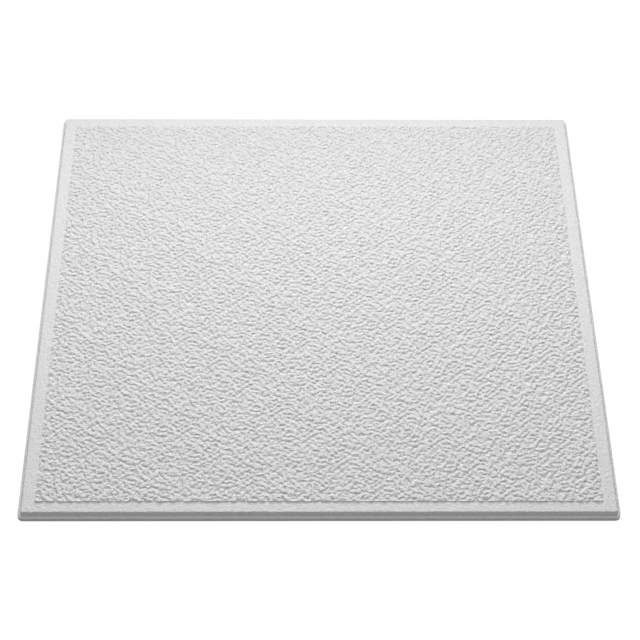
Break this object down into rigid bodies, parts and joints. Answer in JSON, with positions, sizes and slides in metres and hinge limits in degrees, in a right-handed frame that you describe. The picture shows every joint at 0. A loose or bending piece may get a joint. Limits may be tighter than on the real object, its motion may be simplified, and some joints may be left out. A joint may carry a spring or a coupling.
{
  "type": "polystyrene ceiling tile",
  "caption": "Square moulded foam ceiling tile with a flat back, a thin stepped lip, a smooth rim and a raised field of rough plaster-like relief.",
  "frame": {"origin": "middle of the flat back face", "axes": "+Z from the glued back towards the face that shows, +X and +Y along the sides"},
  "size_m": [0.5, 0.5, 0.0105],
  "materials": {
    "foam": "matte expanded polystyrene, smooth moulded skin"
  },
  "bodies": {
    "root": {"tile": "foam"}
  },
  "joints": []
}
